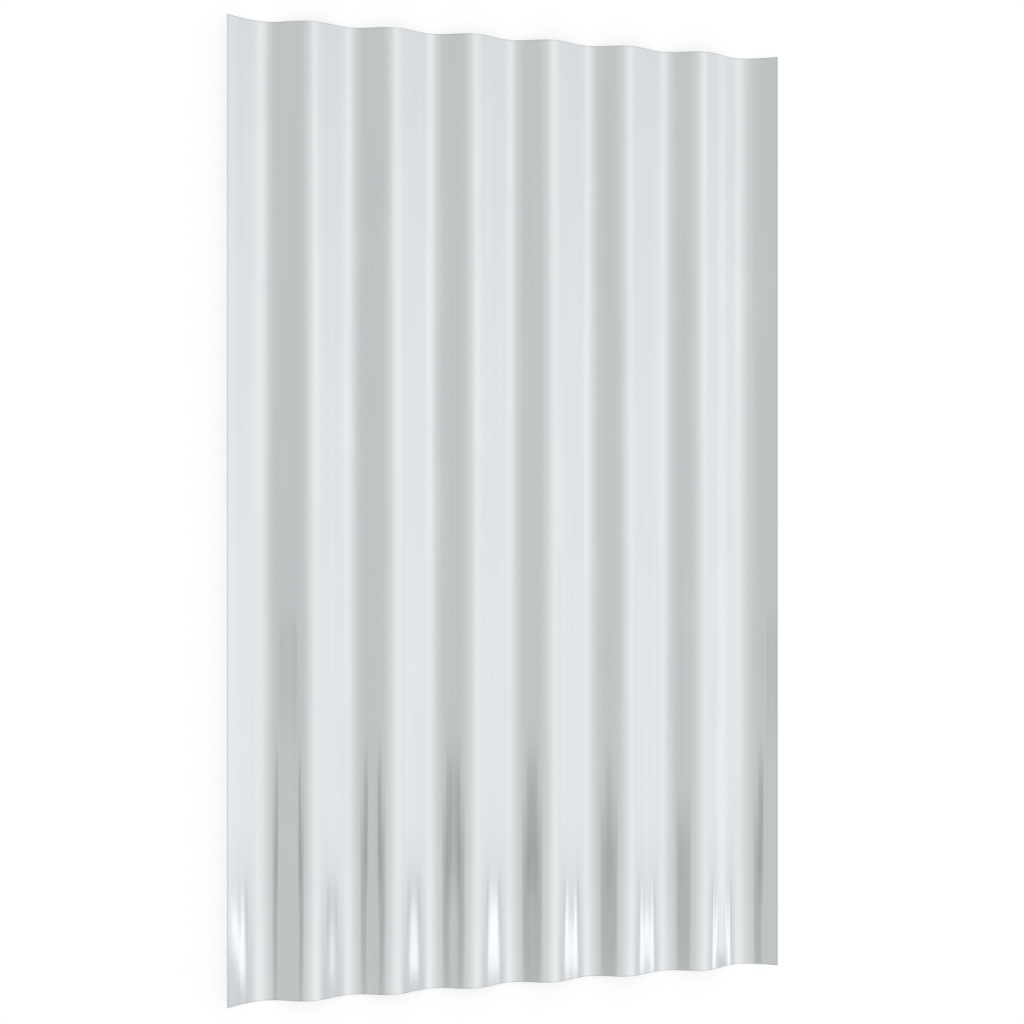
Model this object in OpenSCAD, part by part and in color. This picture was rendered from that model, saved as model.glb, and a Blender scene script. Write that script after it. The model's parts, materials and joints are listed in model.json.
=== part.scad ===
/* [Sheet] */
// Length of the sheet, along its waves
sheet_l = 600; // [200:10:1200]
// Thickness of the coated steel
steel_t = 0.5; // [0.3:0.05:1.2]

/* [Waves] */
// Number of crests across the sheet
crest_count = 6; // [2:1:16]
// Distance from one crest to the next
wave_pitch = 51.5; // [42:0.5:64]
// Height of the crests above the inner valleys
wave_depth = 7.6; // [6:0.1:10]

/* [Side laps] */
// How much lower the outermost valley on each side lies than the inner ones
lap_valley_drop = 1.5; // [0:0.1:3]
// How much further out that valley lies than the rhythm of the waves puts it
lap_valley_out = 1.7; // [0:0.1:4]
// Slope of the steel at the cut edge on each side, where it is steepest
lap_edge_angle = 34; // [24:1:42]
// How far the middle of the cut edge stands above the middle line at a crest
lap_edge_rise = 1.2; // [0:0.1:3]

/* [Hidden] */

// Straight steps that draw half a wave, from crest to valley, and the bend from the last valley to the edge
wave_steps = 24;
bend_steps = 20;

// Heights of the middle line of the steel: the sheet lies on its two outermost valleys
lap_valley_z = steel_t / 2;
crest_z = lap_valley_z + lap_valley_drop + wave_depth;
lap_edge_z = crest_z + lap_edge_rise;

// The last half wave on each side is deeper than the others, and longer
last_crest_x = (crest_count - 1) / 2 * wave_pitch;
lap_run = wave_pitch / 2 + lap_valley_out;
lap_depth = wave_depth + lap_valley_drop;
lap_valley_x = last_crest_x + lap_run;

// Beyond its valley the steel rises to the cut edge as a quarter of a wave, which reaches as far across
// as it needs to have the edge's slope at the edge's height
lap_edge_slope = tan(lap_edge_angle);
lap_bend_rise = lap_edge_z - lap_valley_z;
lap_bend_run = lap_bend_rise * PI / 2 / lap_edge_slope;

// Every point is [across, up] on the section. side_off is how far it lies above the middle line,
// square to a slope that is given as its rise for each millimetre across.
function beside(x, z, slope, side_off) =
    [x, z] + side_off / sqrt(1 + pow(slope, 2)) * [-slope, 1];

// A wave runs down from a crest as a cosine: share counts half waves, so 1 is the next valley
function wave(from_x, run, depth, share, side_off) =
    let (slope = -depth / 2 * PI / run * sin(180 * share))
        beside(from_x + run * share, crest_z - depth / 2 * (1 - cos(180 * share)), slope, side_off);

// The bend runs up from the last valley, where share is 0, to the cut edge, where it is 1
function lap_bend(share, side_off) =
    let (x = lap_valley_x + lap_bend_run * share)
        beside(x, lap_valley_z + lap_bend_rise * (1 - cos(90 * share)), lap_edge_slope * sin(90 * share), side_off);

// From the last crest over its valley to the cut edge, which is square to the steel
function right_lap(side_off) = [
    for (i = [1:wave_steps]) wave(last_crest_x, lap_run, lap_depth, i / wave_steps, side_off),
    for (i = [1:bend_steps]) lap_bend(i / bend_steps, side_off)
];
function left_lap(side_off) =
    let (line = right_lap(side_off))
        [for (i = [len(line) - 1:-1:0]) [-line[i].x, line[i].y]];

// One face of the sheet from its left edge to its right edge
function face_line(side_off) = [
    each left_lap(side_off),
    for (i = [0:2 * (crest_count - 1) * wave_steps])
        wave(-last_crest_x, wave_pitch / 2, wave_depth, i / wave_steps, side_off),
    each right_lap(side_off)
];

module sheet_section() {
    underside = face_line(-steel_t / 2);
    top_side = face_line(steel_t / 2);
    around = concat(underside, [for (i = [len(top_side) - 1:-1:0]) top_side[i]]);
    polygon(around);
}

// The section stands across the sheet and is drawn out along it
module corrugated_sheet() {
    color("gainsboro")
        translate([0, sheet_l / 2, 0])
            rotate([90, 0, 0])
                linear_extrude(sheet_l)
                    sheet_section();
}

corrugated_sheet();
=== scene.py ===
import json
import math

import bmesh
import bpy
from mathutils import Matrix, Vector


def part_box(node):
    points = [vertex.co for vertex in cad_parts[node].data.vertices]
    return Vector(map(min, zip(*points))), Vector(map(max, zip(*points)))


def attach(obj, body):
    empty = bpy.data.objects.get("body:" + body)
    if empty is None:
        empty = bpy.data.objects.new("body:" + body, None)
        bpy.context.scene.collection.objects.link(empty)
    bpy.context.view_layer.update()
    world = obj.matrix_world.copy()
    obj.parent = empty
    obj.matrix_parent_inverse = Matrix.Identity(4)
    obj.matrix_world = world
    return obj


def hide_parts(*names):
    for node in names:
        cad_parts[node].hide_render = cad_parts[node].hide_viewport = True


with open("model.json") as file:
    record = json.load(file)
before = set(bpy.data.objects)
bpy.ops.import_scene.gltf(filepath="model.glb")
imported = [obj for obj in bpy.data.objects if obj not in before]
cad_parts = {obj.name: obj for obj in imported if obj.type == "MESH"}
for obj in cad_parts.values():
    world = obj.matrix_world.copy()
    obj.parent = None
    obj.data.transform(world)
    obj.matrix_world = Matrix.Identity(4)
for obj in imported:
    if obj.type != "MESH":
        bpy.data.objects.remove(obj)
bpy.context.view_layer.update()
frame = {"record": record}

MM = 0.001

# Sizes of the sheet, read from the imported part. The lap's mount is on top of the steel in the lap valley,
# the fixing's on top of the first crest, and the end's in the middle of the steel at an inner valley.
mounts = {mount["name"]: Vector(mount["pos_m"]) for mount in frame["record"]["mounts"]}
low_corner, high_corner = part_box("corrugated_sheet")
sheet_length = high_corner.y - low_corner.y
steel_t = mounts["right_side_lap"].z
wave_pitch = 2 * mounts["crest_fixing"].x
crest_z = mounts["crest_fixing"].z - steel_t / 2
wave_depth = crest_z - mounts["far_end"].z
lap_valley_x = mounts["right_side_lap"].x

# The last crest on each side, and the deeper and longer half wave that runs down from it
last_crest_x = (round(lap_valley_x / wave_pitch) - 0.5) * wave_pitch
lap_run = lap_valley_x - last_crest_x
lap_depth = crest_z - steel_t / 2

# The bend on each side, a quarter of a wave from the lap valley up to the cut edge, which is steepest there
LAP_EDGE_ANGLE = math.radians(34)
cut_edge_x = high_corner.x - steel_t / 2 * math.sin(LAP_EDGE_ANGLE)
lap_bend_run = cut_edge_x - lap_valley_x
lap_bend_rise = high_corner.z - steel_t / 2 * math.cos(LAP_EDGE_ANGLE) - steel_t / 2

# The blank before it is rolled: columns across the waves and rows along them
BLANK_COLUMNS = 448
BLANK_ROWS = 60

# What shears leave: a broken corner, and a strip beside it where the zinc is dragged dull. The strip's
# darker grey is partly painted shade, standing in for the rolled-over corner.
BROKEN_CORNER = 0.05 * MM
DRAGGED_ZINC_AND_SHADE = 0.8 * MM

# Blender's noise seldom leaves this range
NOISE_RANGE = (0.3, 0.7)


def linear(hex_colour):
    """An sRGB hex colour as linear red, green, blue and alpha."""
    channels = [int(hex_colour[i:i + 2], 16) / 255 for i in (1, 3, 5)]
    return [c / 12.92 if c <= 0.04045 else ((c + 0.055) / 1.055) ** 2.4 for c in channels] + [1.0]


def add(tree, kind, settings=None, **inputs):
    """Adds a node. Settings are its own properties. Inputs are its sockets, each with a value or a link.

    A socket goes by its name, or by its number after an underscore where several share a name."""
    node = tree.nodes.new(kind)
    for name, value in (settings or {}).items():
        setattr(node, name, value)
    for name, value in inputs.items():
        socket = node.inputs[int(name[1:])] if name[0] == "_" else node.inputs[name.replace("_", " ")]
        if isinstance(value, bpy.types.NodeSocket):
            tree.links.new(value, socket)
        else:
            socket.default_value = value
    return node


def math_of(tree, operation, *values):
    """The result of one sum on numbers or sockets."""
    inputs = {f"_{i}": value for i, value in enumerate(values)}
    return add(tree, "ShaderNodeMath", {"operation": operation}, **inputs).outputs[0]


def soft_step(tree, value, start, end, low=0.0, high=1.0):
    """Goes from low to high, with soft ends, as value goes from start to end."""
    node = add(tree, "ShaderNodeMapRange", {"interpolation_type": "SMOOTHSTEP"}, Value=value,
               From_Min=start, From_Max=end, To_Min=low, To_Max=high)
    return node.outputs["Result"]


def between(tree, value, rise, fall):
    """1 between two soft edges and 0 beyond them. Each edge is a pair of values, or None for no edge."""
    edges = []
    if rise:
        edges.append(soft_step(tree, value, *rise))
    if fall:
        edges.append(soft_step(tree, value, *fall, low=1.0, high=0.0))
    return edges[0] if len(edges) == 1 else math_of(tree, "MULTIPLY", *edges)


def middle_line(x):
    """Height of the middle of the steel, x to the side of the sheet's centre line."""
    out = abs(x)
    if out <= last_crest_x:
        return crest_z - wave_depth / 2 * (1 + math.cos(2 * math.pi * x / wave_pitch))
    if out <= lap_valley_x:
        share = (out - last_crest_x) / lap_run
        return crest_z - lap_depth / 2 * (1 - math.cos(math.pi * share))
    share = (out - lap_valley_x) / lap_bend_run
    return steel_t / 2 + lap_bend_rise * (1 - math.cos(math.pi / 2 * share))


def mesh_piece(name, bm, materials):
    """Makes an object of a bmesh. Its place is in its mesh."""
    mesh = bpy.data.meshes.new(name)
    bm.to_mesh(mesh)
    bm.free()
    for material in materials:
        mesh.materials.append(material)
    piece = bpy.data.objects.new(name, mesh)
    bpy.context.scene.collection.objects.link(piece)
    return piece


def rolled_sheet(materials):
    """A flat blank, rolled into waves, with the steel's thickness and its four sheared edges."""
    bm = bmesh.new()
    bmesh.ops.create_grid(bm, x_segments=BLANK_COLUMNS, y_segments=BLANK_ROWS, size=0.5)
    bmesh.ops.scale(bm, vec=(2 * cut_edge_x, sheet_length, 1), verts=bm.verts)
    for vert in bm.verts:
        vert.co.z = middle_line(vert.co.x)

    # Half of the thickness lies above the middle line, square to it, and half below
    bm.normal_update()
    for vert in bm.verts:
        vert.co += vert.normal * steel_t / 2
    bmesh.ops.solidify(bm, geom=bm.faces[:], thickness=steel_t)
    bm.normal_update()

    # At 34 degrees, the steepest of the zinc, a face's normal still reaches 0.83 up or down. Whatever
    # reaches less is a cut edge.
    zinc, sheared = 0, 1
    least_upright = 0.8
    for face in bm.faces:
        face.smooth = True
        face.material_index = zinc if abs(face.normal.z) > least_upright else sheared

    # The shears break the corners beside the zinc, and the four upright ones where two cuts meet
    cut_corner = math.radians(60)
    corners = [edge for edge in bm.edges
               if len({face.material_index for face in edge.link_faces}) == 2
               or all(face.material_index == sheared for face in edge.link_faces)
               and edge.calc_face_angle() > cut_corner]
    bmesh.ops.bevel(bm, geom=corners, offset=BROKEN_CORNER, segments=2, profile=0.5, affect="EDGES",
                    material=-1)
    crease = math.radians(15)
    for edge in bm.edges:
        edge.smooth = edge.calc_face_angle() < crease
    return mesh_piece("steel_sheet", bm, materials)


def skin_passed_zinc():
    """Hot-dip galvanised steel with fine spangle, skin-passed between polished rolls.

    The rolls flatten the zinc almost to a mirror, so it shows the room in long soft bands. What is
    left of their grind is faint lines along the sheet, and the zinc under them is a little cloudy."""
    material = bpy.data.materials.new("skin_passed_zinc")
    material.use_nodes = True
    tree = material.node_tree
    tree.nodes.clear()
    place = add(tree, "ShaderNodeTexCoord").outputs["Object"]

    # Roll lines: 1 mm apart on the real sheet, drawn 3 mm apart so that they show, and 400 mm long
    line_apart, line_long = 3 * MM, 400 * MM
    along_rolls = add(tree, "ShaderNodeMapping", Vector=place,
                      Scale=(1 / line_apart, 1 / line_long, 1 / line_apart)).outputs[0]
    lines = add(tree, "ShaderNodeTexNoise", Vector=along_rolls, Scale=1.0, Detail=2.0).outputs["Fac"]

    # Cloudy zinc: patches 18 mm across and 90 mm long
    cloud_wide, cloud_long = 18 * MM, 90 * MM
    along_flow = add(tree, "ShaderNodeMapping", Vector=place,
                     Scale=(1 / cloud_wide, 1 / cloud_long, 1 / cloud_wide)).outputs[0]
    clouds = add(tree, "ShaderNodeTexNoise", Vector=along_flow, Scale=1.0, Detail=3.0).outputs["Fac"]

    # The strip along each cut, where the shears dragged the zinc dull, and where a darker grey is painted
    # shade of the rolled-over corner
    spot = add(tree, "ShaderNodeSeparateXYZ", Vector=place)
    to_side = math_of(tree, "ABSOLUTE", spot.outputs["X"])
    to_end = math_of(tree, "ABSOLUTE", spot.outputs["Y"])
    beside_side = soft_step(tree, to_side, cut_edge_x - DRAGGED_ZINC_AND_SHADE, cut_edge_x)
    beside_end = soft_step(tree, to_end, sheet_length / 2 - DRAGGED_ZINC_AND_SHADE, sheet_length / 2)
    dragged_zinc_and_shade = math_of(tree, "MAXIMUM", beside_side, beside_end)

    # The tone is half lines and half clouds
    half_lines = math_of(tree, "MULTIPLY", lines, 0.5)
    half_clouds = math_of(tree, "MULTIPLY", clouds, 0.5)
    tone = soft_step(tree, math_of(tree, "ADD", half_lines, half_clouds), *NOISE_RANGE)
    bright = add(tree, "ShaderNodeMix", {"data_type": "RGBA"}, Factor=tone,
                 A=linear("#E6EBED"), B=linear("#EAEFEF"))
    # Along the cuts the colour turns darker grey: partly dragged zinc, partly painted shade of the
    # rolled-over corner
    colour = add(tree, "ShaderNodeMix", {"data_type": "RGBA"}, Factor=dragged_zinc_and_shade,
                 A=bright.outputs["Result"], B=linear("#C8CCCD"))

    smoothest, roughest, dragged_adds = 0.04, 0.07, 0.12
    smooth = soft_step(tree, lines, *NOISE_RANGE, smoothest, roughest)
    rough = math_of(tree, "ADD", smooth, math_of(tree, "MULTIPLY", dragged_zinc_and_shade, dragged_adds))
    line_depth = 0.007 * MM
    grind = add(tree, "ShaderNodeBump", Height=lines, Strength=1.0, Distance=line_depth)
    metal = add(tree, "ShaderNodeBsdfPrincipled", Base_Color=colour.outputs["Result"], Metallic=1.0,
                Roughness=rough, Normal=grind.outputs["Normal"])
    add(tree, "ShaderNodeOutputMaterial", Surface=metal.outputs["BSDF"])
    return material


def sheared_steel():
    """Bare low-carbon steel where the blank was cut by shears.

    The blade rubs the upper part of the cut smooth and the rest tears off, so it is grey, matt and
    lined across its thickness."""
    material = bpy.data.materials.new("sheared_steel")
    material.use_nodes = True
    tree = material.node_tree
    tree.nodes.clear()
    place = add(tree, "ShaderNodeTexCoord").outputs["Object"]

    # Tear lines 0.15 mm apart, and longer than the steel is thick
    tear_apart, tear_long = 0.15 * MM, 2 * MM
    across = add(tree, "ShaderNodeMapping", Vector=place,
                 Scale=(1 / tear_apart, 1 / tear_apart, 1 / tear_long)).outputs[0]
    tears = add(tree, "ShaderNodeTexNoise", Vector=across, Scale=1.0, Detail=2.0).outputs["Fac"]

    colour = add(tree, "ShaderNodeMix", {"data_type": "RGBA"}, Factor=soft_step(tree, tears, *NOISE_RANGE),
                 A=linear("#C2C6C7"), B=linear("#DCE0E1"))
    rubbed, torn = 0.35, 0.55
    rough = soft_step(tree, tears, *NOISE_RANGE, rubbed, torn)
    tear_depth = 0.01 * MM
    bumps = add(tree, "ShaderNodeBump", Height=tears, Strength=0.5, Distance=tear_depth)
    metal = add(tree, "ShaderNodeBsdfPrincipled", Base_Color=colour.outputs["Result"], Metallic=1.0,
                Roughness=rough, Normal=bumps.outputs["Normal"])
    add(tree, "ShaderNodeOutputMaterial", Surface=metal.outputs["BSDF"])
    return material


def white_paper():
    """Seamless white backdrop paper: matt and even.

    Its glow stands for the strong light on a studio floor, which leaves only a faint shadow. No such
    light gets under the sheet, so the paper doesn't glow there."""
    material = bpy.data.materials.new("white_paper")
    material.use_nodes = True
    tree = material.node_tree
    tree.nodes.clear()

    # The glow comes back softly about the lap valleys, and before the two ends
    soft_side, soft_end = 6 * MM, 12 * MM
    spot = add(tree, "ShaderNodeSeparateXYZ", Vector=add(tree, "ShaderNodeTexCoord").outputs["Object"])
    to_side = math_of(tree, "ABSOLUTE", spot.outputs["X"])
    to_end = math_of(tree, "ABSOLUTE", spot.outputs["Y"])
    beyond_side = soft_step(tree, to_side, lap_valley_x - soft_side, lap_valley_x + soft_side)
    beyond_end = soft_step(tree, to_end, sheet_length / 2 - soft_end, sheet_length / 2)
    lit = math_of(tree, "MAXIMUM", beyond_side, beyond_end)

    glow = 0.56
    paper = add(tree, "ShaderNodeBsdfPrincipled", Base_Color=linear("#C8C8C8"), Roughness=0.9,
                Specular_IOR_Level=0.0, Emission_Color=linear("#FFFFFF"),
                Emission_Strength=math_of(tree, "MULTIPLY", lit, glow))
    add(tree, "ShaderNodeOutputMaterial", Surface=paper.outputs["BSDF"])
    return material


def studio_floor():
    """A plain floor, far larger than what any view shows."""
    floor_side = 24.0
    bm = bmesh.new()
    bmesh.ops.create_grid(bm, x_segments=1, y_segments=1, size=floor_side / 2)
    floor = mesh_piece("studio_floor", bm, [white_paper()])


def studio_light():
    """A white studio, as the metal sees it.

    A wide soft card hangs overhead to the right, the wall on the left is dimmer, and both sides are
    dark near the floor. The level depends on the direction alone. Round is the angle from straight up
    towards +X, turning about the length of the sheet, and along is the angle towards +Y, in degrees."""
    world = bpy.data.worlds.new("studio_light")
    bpy.context.scene.world = world
    world.use_nodes = True
    tree = world.node_tree
    tree.nodes.clear()
    way = add(tree, "ShaderNodeSeparateXYZ", Vector=add(tree, "ShaderNodeTexCoord").outputs["Generated"])
    round_angle = math_of(tree, "DEGREES", math_of(tree, "ARCTAN2", way.outputs["X"], way.outputs["Z"]))
    along_angle = math_of(tree, "DEGREES", math_of(tree, "ARCSINE", way.outputs["Y"]))

    # The walls and the overhead card, from the floor on the left to the floor on the right: the angle
    # round, and how bright the studio is there
    walls = [
        (-90, "#B2B2B2"), (-72, "#C0C0C0"), (-52, "#D2D2D2"), (-36, "#D2D2D2"), (-26, "#D5D5D5"),
        (-17, "#DBDBDB"), (-8, "#E2E2E2"), (0, "#E8E8E8"), (8, "#F0EFEF"), (17, "#F7F6F6"),
        (28, "#FBFAFA"), (34, "#F9F8F9"), (44, "#F7F6F8"), (68, "#F6F5F7"), (73, "#F9F8FA"),
        (78, "#FEFDFE"), (82, "#FDFCFD"), (87, "#CBCBCC"), (90, "#C0C0C1"),
    ]
    left, right = walls[0][0], walls[-1][0]
    share = add(tree, "ShaderNodeMapRange", Value=round_angle, From_Min=left, From_Max=right)
    ramp = add(tree, "ShaderNodeValToRGB", Fac=share.outputs["Result"])
    stops = ramp.color_ramp.elements

    # The ramp comes with two stops, and needs one for each angle
    for _ in walls[2:]:
        stops.new(1.0)
    for stop, (angle, colour) in zip(stops, walls):
        stop.position = (angle - left) / (right - left)
        stop.color = linear(colour)

    def card(level, round_in, round_out, along_in, along_out, lean=0.0):
        """A card that multiplies the light behind it by level. Each pair is a soft edge's two angles.

        Lean is how many degrees its place along moves back for each degree round from its middle."""
        along = along_angle
        if lean:
            from_middle = math_of(tree, "SUBTRACT", round_angle, (sum(round_in) + sum(round_out)) / 4)
            along = math_of(tree, "MULTIPLY_ADD", from_middle, lean, along_angle)
        inside = math_of(tree, "MULTIPLY", between(tree, round_angle, round_in, round_out),
                         between(tree, along, along_in, along_out))
        return math_of(tree, "MULTIPLY_ADD", inside, level - 1.0, 1.0)

    cards = [
        # A dark flag up on the left, towards the near end: a narrow head and a leaning body
        card(0.74, (-37.1, -35.6), (-33, -27.5), (-13.6, -11.2), (-9.6, -7.2)),
        card(0.79, (-36, -32.5), (-26, -20), (-17.5, -14), (-12, -9), lean=-0.14),
        # A dim corner further left
        card(0.91, (-54, -44.5), (-39.7, -38.9), (-8.8, -5.6), (-4.2, -3)),
        # Overhead the light is a little brighter towards both ends, and further left at the near one
        card(1.03, (-4, 6), (34, 46), (-8, 8), None),
        card(1.05, (-27, -17), (25, 35), None, (-17, -11)),
        # The wall on the right is dim towards both ends, with a slightly brighter strip before the near one
        card(0.76, (32, 51), (71, 77), None, (-18.6, -9.4)),
        card(0.85, (14, 38), None, (1, 30), None),
        card(1.02, (46, 54), None, (-12, -10), (-2.5, -0.5)),
        card(0.73, (71.5, 77), None, None, (-14.9, -14.4)),
        # The shade beside a window low on the right, towards the near end, and its two panes
        card(0.76, (51, 60), (60, 63.5), (-15.2, -13.3), (-13.2, -11.7)),
        card(1.50, (56.2, 61), (64.5, 66.5), (-15.8, -14.9), (-13.9, -12.1)),
        card(1.44, (64.5, 66.5), (71.5, 74.5), (-15.4, -14.4), (-14.0, -12.8), lean=-0.16),
    ]
    level = cards[0]
    for other in cards[1:]:
        level = math_of(tree, "MULTIPLY", level, other)

    # The camera itself sees plain white wherever the floor ends
    seen = add(tree, "ShaderNodeLightPath").outputs["Is Camera Ray"]
    lit = add(tree, "ShaderNodeVectorMath", {"operation": "SCALE"}, Vector=ramp.outputs["Color"],
              Scale=level)
    colour = add(tree, "ShaderNodeMix", {"data_type": "RGBA"}, Factor=seen,
                 A=lit.outputs["Vector"], B=linear("#FFFFFF"))
    back = add(tree, "ShaderNodeBackground", Color=colour.outputs["Result"], Strength=1.0)
    add(tree, "ShaderNodeOutputWorld", Surface=back.outputs["Background"])


def camera():
    """Looks down on the sheet from 15.5 degrees left of square, level with the middle of its length."""
    tilt = math.radians(15.508)
    aim = Vector((-0.437, -0.59, 5.1)) * MM
    distance = 1069.964 * MM
    sensor_mm = 36.0
    photo_px = 1024
    focal_px = 1685
    data = bpy.data.cameras.new("camera")
    data.sensor_width = sensor_mm
    data.lens = sensor_mm * focal_px / photo_px
    eye = bpy.data.objects.new("camera", data)
    bpy.context.scene.collection.objects.link(eye)
    eye.location = aim + distance * Vector((-math.sin(tilt), 0, math.cos(tilt)))
    eye.rotation_euler = (0, -tilt, 0)
    bpy.context.scene.camera = eye


sheet = rolled_sheet([skin_passed_zinc(), sheared_steel()])
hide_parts("corrugated_sheet")
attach(sheet, "root")

studio_floor()
studio_light()
camera()
bpy.context.scene.view_settings.view_transform = "Standard"
